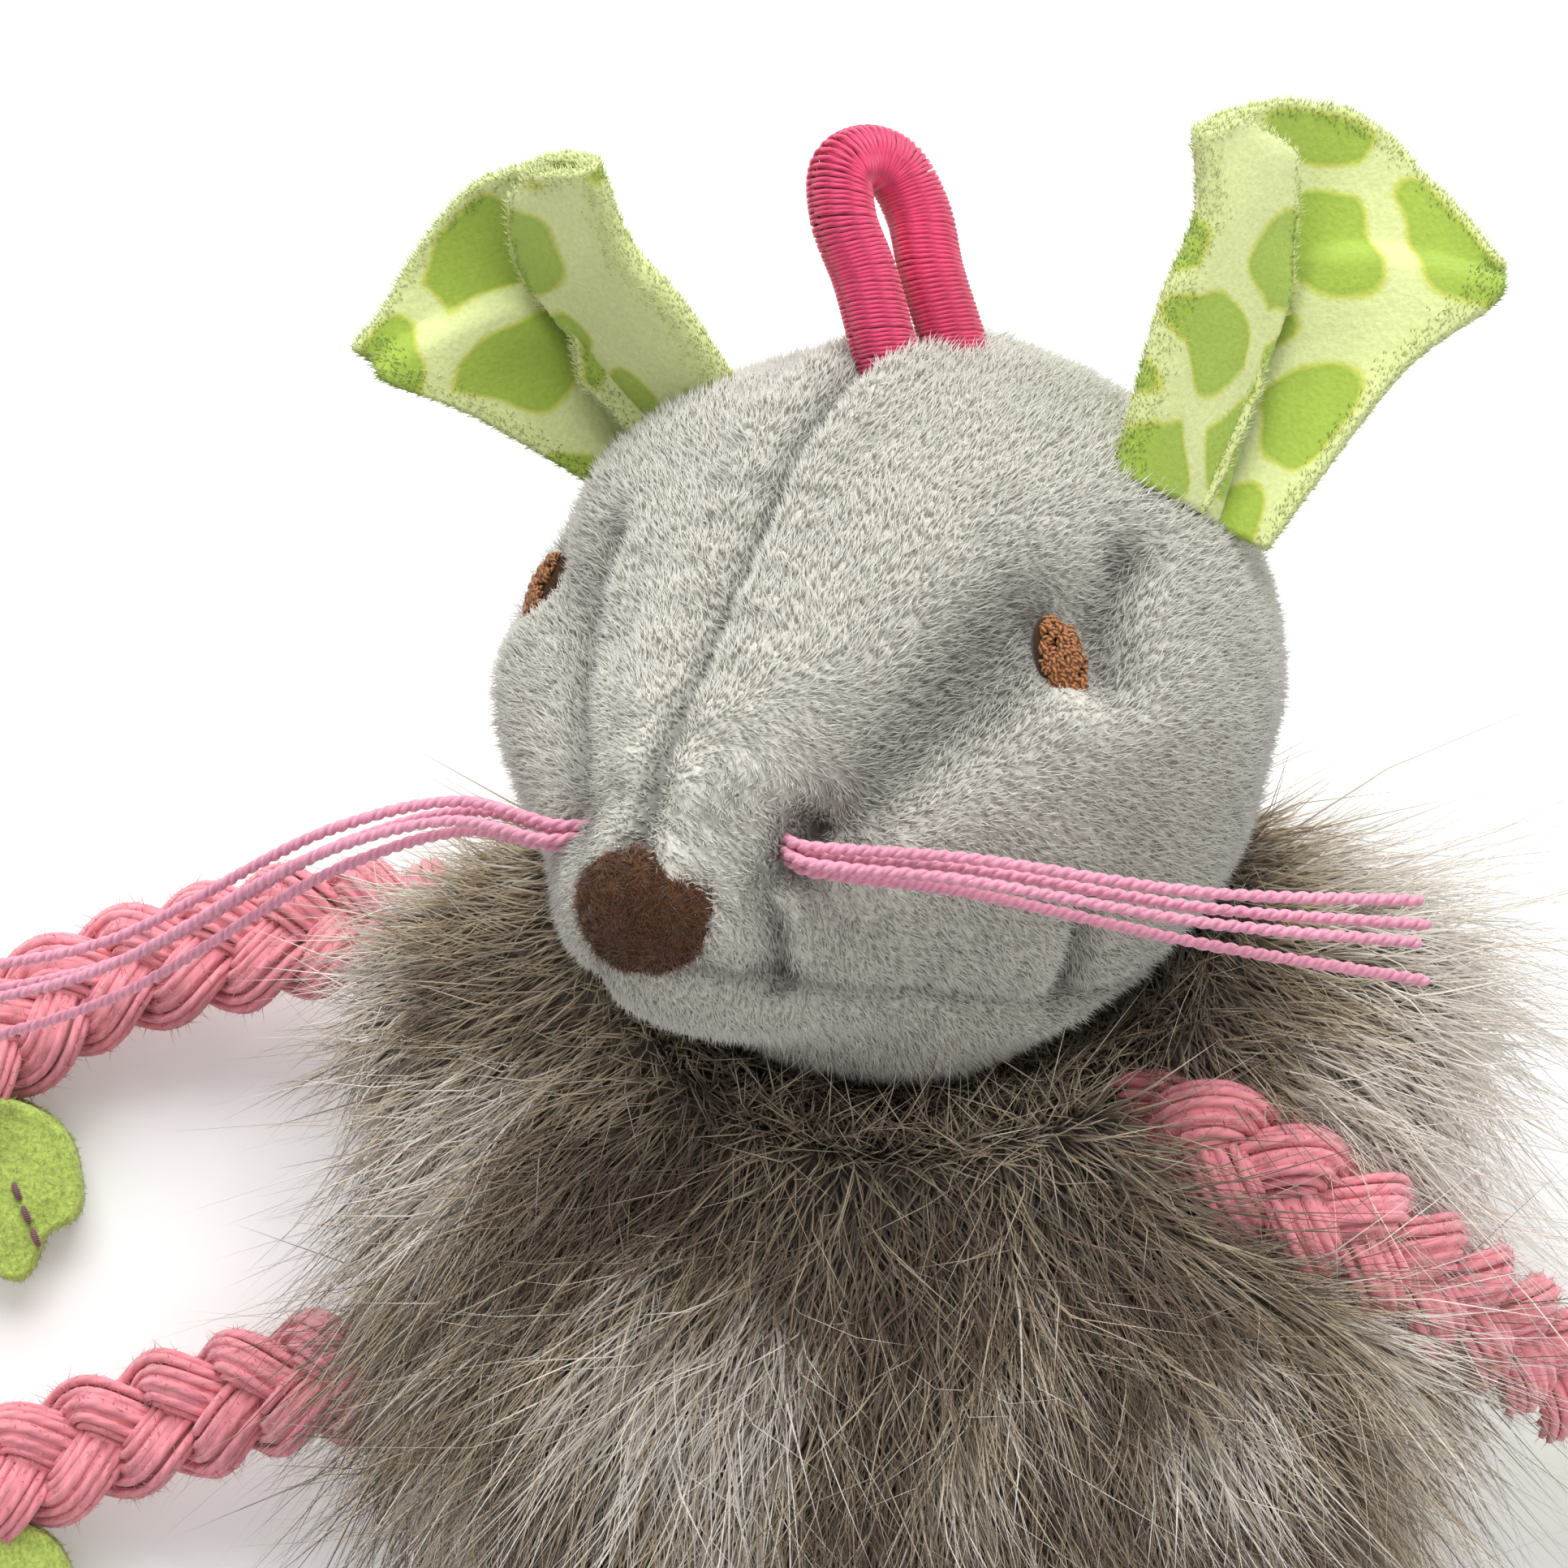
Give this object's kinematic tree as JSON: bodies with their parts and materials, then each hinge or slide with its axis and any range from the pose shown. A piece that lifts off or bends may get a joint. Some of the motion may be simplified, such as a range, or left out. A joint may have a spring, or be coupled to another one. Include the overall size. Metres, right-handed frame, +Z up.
{
  "type": "plush mouse cat toy",
  "caption": "Plush mouse cat toy lying on its back: long-pile body, short-pile head, folded print ears, plaited limbs with felt paws, whisker threads and an elastic hanging loop.",
  "frame": {"origin": "middle of the toy's outline, on the floor under its back", "axes": "+X to the viewer's right, +Y from the feet to the head, +Z up from the toy's back to its front"},
  "size_m": [0.1376, 0.1338, 0.0697],
  "materials": {
    "head_plush": "short grey plush",
    "body_pile": "long mottled pile",
    "stuffing": "loose polyester fibre",
    "nose_felt": "fuzzy felt",
    "eye_thread": "satin embroidery thread",
    "ear_velour": "printed velour",
    "elastic_cover": "textile wound over elastic",
    "whisker_thread": "twisted thread",
    "plaited_cotton": "plaited soft cotton yarn",
    "paw_felt": "felt",
    "neck_seam_thread": "sewing thread"
  },
  "bodies": {
    "torso": {"body_panel_front": "body_pile", "body_panel_back": "body_pile", "body_filling": "stuffing"},
    "neck": {"neck_thread": "neck_seam_thread"},
    "head": {"head_panel_right": "head_plush", "head_panel_left": "head_plush", "head_panel_chin": "head_plush", "head_filling": "stuffing", "nose": "nose_felt", "eye_right": "eye_thread", "eye_left": "eye_thread", "whisker_left_1": "whisker_thread", "whisker_left_2": "whisker_thread", "whisker_left_3": "whisker_thread", "whisker_left_4": "whisker_thread", "whisker_right_1": "whisker_thread", "whisker_right_2": "whisker_thread", "whisker_right_3": "whisker_thread", "whisker_right_4": "whisker_thread"},
    "ear_left": {"ear_left_front": "ear_velour", "ear_left_back": "ear_velour"},
    "ear_right": {"ear_right_front": "ear_velour", "ear_right_back": "ear_velour"},
    "loop": {"elastic_loop": "elastic_cover"},
    "arm_left": {"arm_left": "plaited_cotton"},
    "hand_left": {"hand_left_front": "paw_felt", "hand_left_back": "paw_felt"},
    "arm_right": {"arm_right": "plaited_cotton"},
    "hand_right": {"hand_right_front": "paw_felt", "hand_right_back": "paw_felt"},
    "leg_left": {"leg_left": "plaited_cotton"},
    "foot_left": {"foot_left_front": "paw_felt", "foot_left_back": "paw_felt"},
    "leg_right": {"leg_right": "plaited_cotton"},
    "foot_right": {"foot_right_front": "paw_felt", "foot_right_back": "paw_felt"}
  },
  "joints": [
    {"name": "neck_nod", "type": "hinge", "parent": "torso", "child": "neck", "pos_m": [0.00328, 0.0156, 0.01962], "axis": [1, 0, 0], "range_deg": [-12, 12], "stiffness_Nm_per_rad": 0.06},
    {"name": "head_turn", "type": "hinge", "parent": "neck", "child": "head", "pos_m": [0.00328, 0.0156, 0.01962], "axis": [0, 0.6157, 0.788], "range_deg": [-25, 25], "stiffness_Nm_per_rad": 0.06},
    {"name": "ear_fold_left", "type": "hinge", "parent": "head", "child": "ear_left", "pos_m": [-0.01208, 0.05057, 0.03933], "axis": [0.7351, 0.4416, 0.5144], "range_deg": [-25, 25], "stiffness_Nm_per_rad": 0.002},
    {"name": "ear_fold_right", "type": "hinge", "parent": "head", "child": "ear_right", "pos_m": [0.02138, 0.04409, 0.05049], "axis": [0.8767, -0.3579, -0.3215], "range_deg": [-25, 25], "stiffness_Nm_per_rad": 0.002},
    {"name": "loop_swing", "type": "hinge", "parent": "head", "child": "loop", "pos_m": [0.00361, 0.05332, 0.04876], "axis": [0.8304, 0.2109, -0.5157], "range_deg": [-20, 20], "stiffness_Nm_per_rad": 0.003},
    {"name": "arm_left_swing", "type": "hinge", "parent": "torso", "child": "arm_left", "pos_m": [-0.02648, 0.01862, 0.01771], "axis": [-0.3113, 0.7421, 0.5936], "range_deg": [-10, 45]},
    {"name": "hand_left_flap", "type": "hinge", "parent": "arm_left", "child": "hand_left", "pos_m": [-0.06338, 0.01083, 0.0049], "axis": [-0.9536, -0.3011, 0], "range_deg": [-25, 25]},
    {"name": "arm_right_swing", "type": "hinge", "parent": "torso", "child": "arm_right", "pos_m": [0.02149, 0.00227, 0.03515], "axis": [-0.5475, -0.7485, -0.3742], "range_deg": [0, 40]},
    {"name": "hand_right_flap", "type": "hinge", "parent": "arm_right", "child": "hand_right", "pos_m": [0.0499, -0.01171, 0.01246], "axis": [-0.4229, -0.9062, 0], "range_deg": [-25, 25]},
    {"name": "leg_left_swing", "type": "hinge", "parent": "torso", "child": "leg_left", "pos_m": [-0.02696, -0.0105, 0.01592], "axis": [-0.3624, 0.7278, 0.5822], "range_deg": [-10, 45]},
    {"name": "foot_left_flap", "type": "hinge", "parent": "leg_left", "child": "foot_left", "pos_m": [-0.06427, -0.01911, 0.0049], "axis": [-0.8903, -0.4553, 0], "range_deg": [-25, 25]},
    {"name": "leg_right_swing", "type": "hinge", "parent": "torso", "child": "leg_right", "pos_m": [0.02763, -0.02791, 0.01512], "axis": [-0.7564, -0.6541, 0], "range_deg": [-10, 45]},
    {"name": "foot_right_flap", "type": "hinge", "parent": "leg_right", "child": "foot_right", "pos_m": [0.05428, -0.05743, 0.0049], "axis": [-0.3624, -0.932, 0], "range_deg": [-25, 25]}
  ]
}
